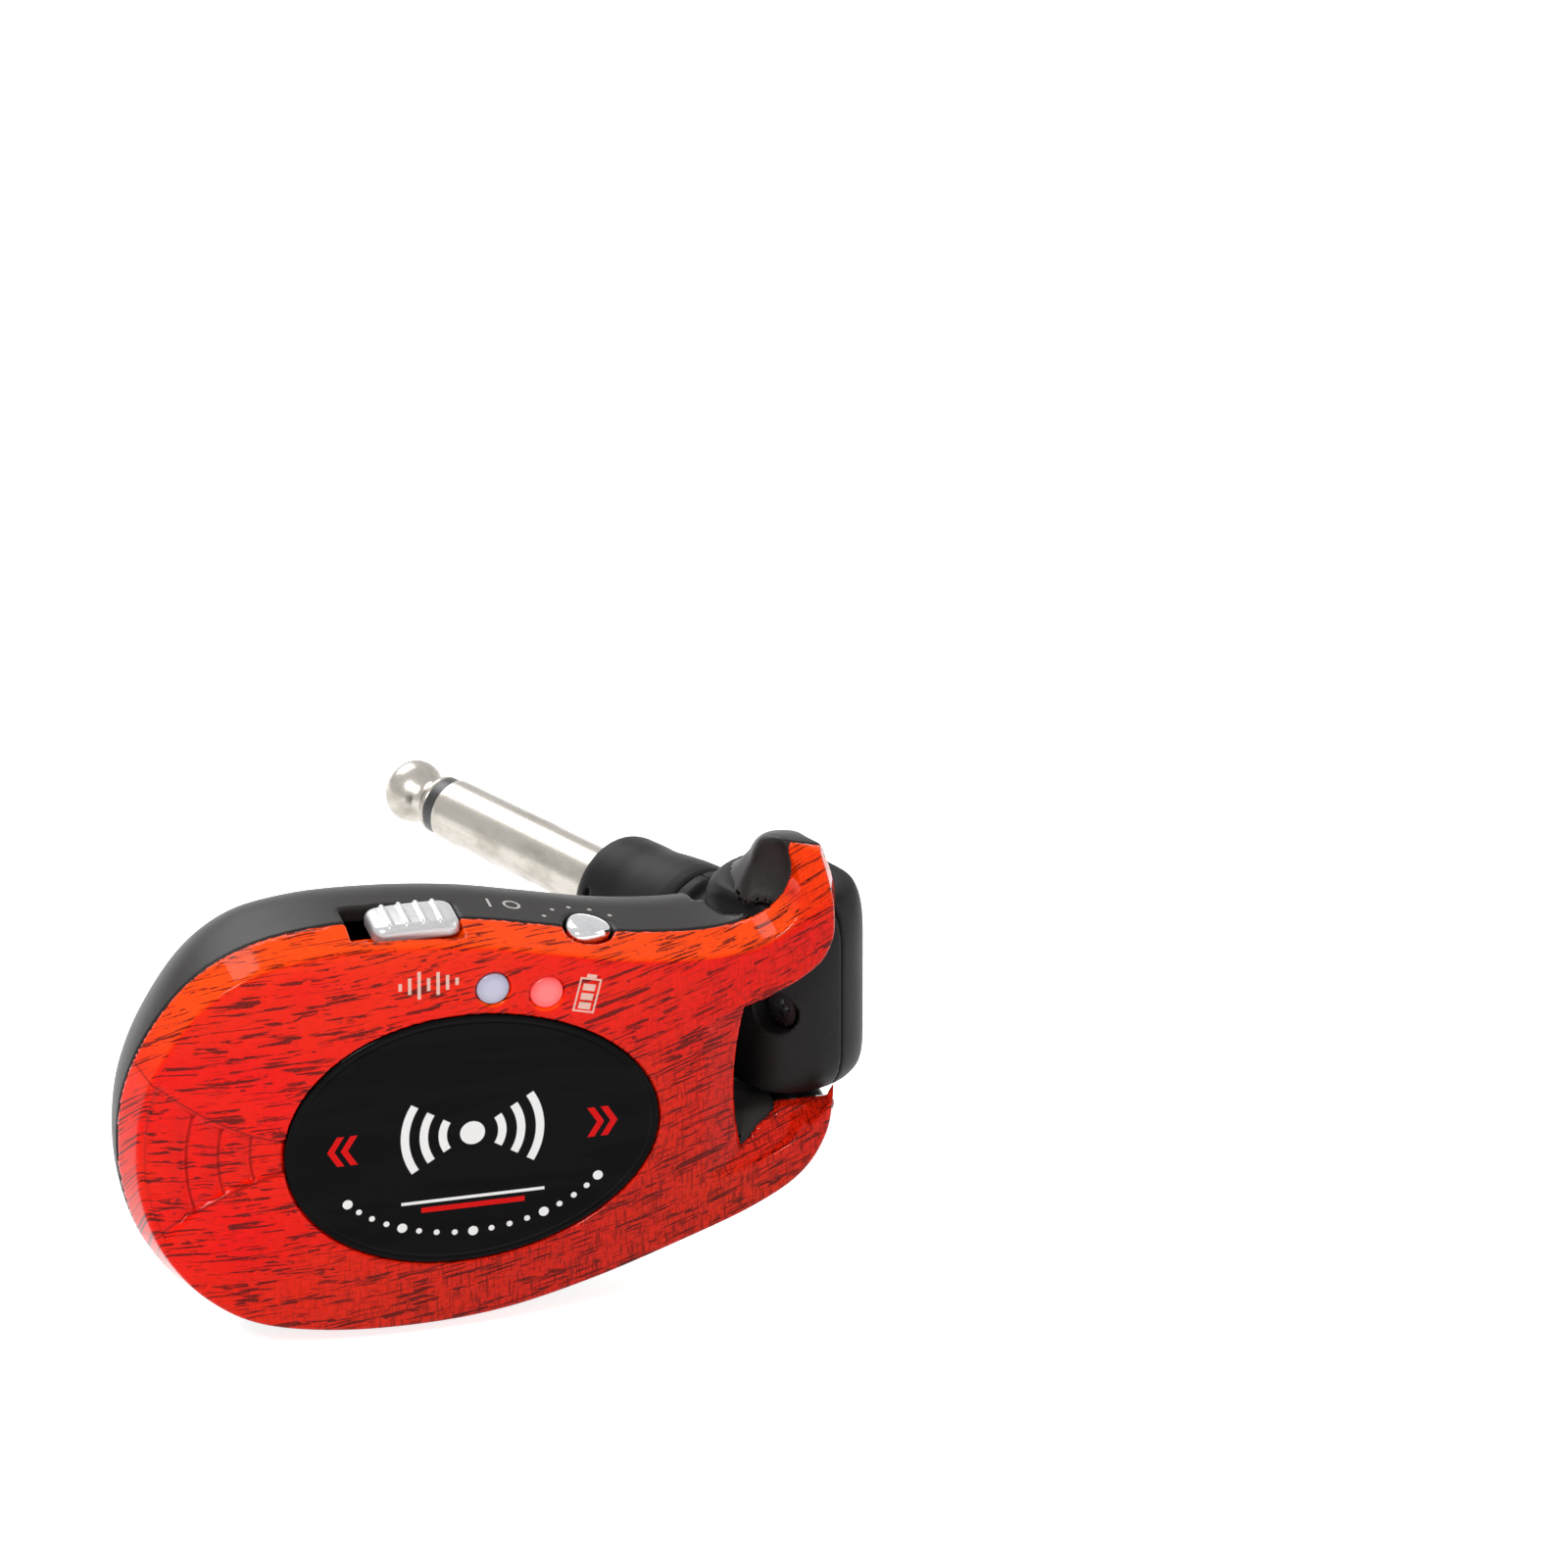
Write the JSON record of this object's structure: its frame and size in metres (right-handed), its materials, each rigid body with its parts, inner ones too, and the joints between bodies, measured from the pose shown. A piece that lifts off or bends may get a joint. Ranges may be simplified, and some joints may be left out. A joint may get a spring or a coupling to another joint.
{
  "type": "wireless guitar transmitter",
  "caption": "Flat two-part housing with a forked end, a folding quarter-inch plug on a swivel block, a power slider, a channel button and two lights.",
  "frame": {"origin": "on the plug axis, where the plug leaves its collar", "axes": "+X along the housing from its round end to its fork, +Y from the front face to the back, +Z across the housing towards the edge with the slider; the hinge axis is parallel to Z"},
  "size_m": [0.0761, 0.0616, 0.0474],
  "materials": {
    "shell_red": "gloss lacquer with a wood-grain print",
    "shell_black": "fine satin",
    "badge_black": "mirror gloss",
    "lens_audio": "clear milky",
    "lens_battery": "clear tinted",
    "chip_white": "satin",
    "board_green": "satin",
    "tin": "satin",
    "ceramic": "satin",
    "chip_black": "satin",
    "cell_wrap": "satin foil",
    "foam": "soft foam",
    "nylon": "satin",
    "slider_silver": "satin metallic paint",
    "button_chrome": "polished",
    "screw_steel": "satin",
    "washer": "waxy",
    "block_black": "fine matte",
    "brass": "satin",
    "plug_nickel": "brushed",
    "insulator_black": "satin"
  },
  "bodies": {
    "plug_arm": {"block_left": "block_black", "block_right": "block_black", "block_screw": "screw_steel", "block_nut": "brass", "friction_washers": "washer", "plug_collar": "block_black", "plug_sleeve": "plug_nickel", "plug_insulator": "insulator_black", "plug_tip": "plug_nickel", "sleeve_nut": "brass", "tip_terminal": "brass", "sleeve_terminal": "brass"},
    "housing": {"front_shell": "shell_red", "back_shell": "shell_black", "hook_cover": "shell_black", "badge_plate": "badge_black", "audio_light_lens": "lens_audio", "battery_light_lens": "lens_battery", "light_chips": "chip_white", "circuit_board": "board_green", "shield_can": "tin", "antenna": "ceramic", "audio_chip": "chip_black", "battery_cell": "cell_wrap", "battery_pad": "foam", "battery_connector": "nylon", "charging_socket": "tin", "power_switch": "tin", "channel_switch": "tin", "case_screws": "screw_steel", "hinge_pins": "screw_steel"},
    "power_slider": {"power_slider": "slider_silver"},
    "channel_button": {"channel_button": "button_chrome"}
  },
  "joints": [
    {"name": "plug_fold", "type": "hinge", "parent": "plug_arm", "child": "housing", "pos_m": [0.01183, -0.02179, 0], "axis": [0, 0, 1], "range_deg": [-54.5, 148]},
    {"name": "power_slide", "type": "slide", "parent": "housing", "child": "power_slider", "axis": [1, 0, 0], "range_m": [-0.002, 0]},
    {"name": "channel_press", "type": "slide", "parent": "housing", "child": "channel_button", "axis": [-0.2224, 0, -0.9749], "range_m": [0, 0.0004], "stiffness_N_per_m": 50, "springref_m": -0.0004}
  ]
}
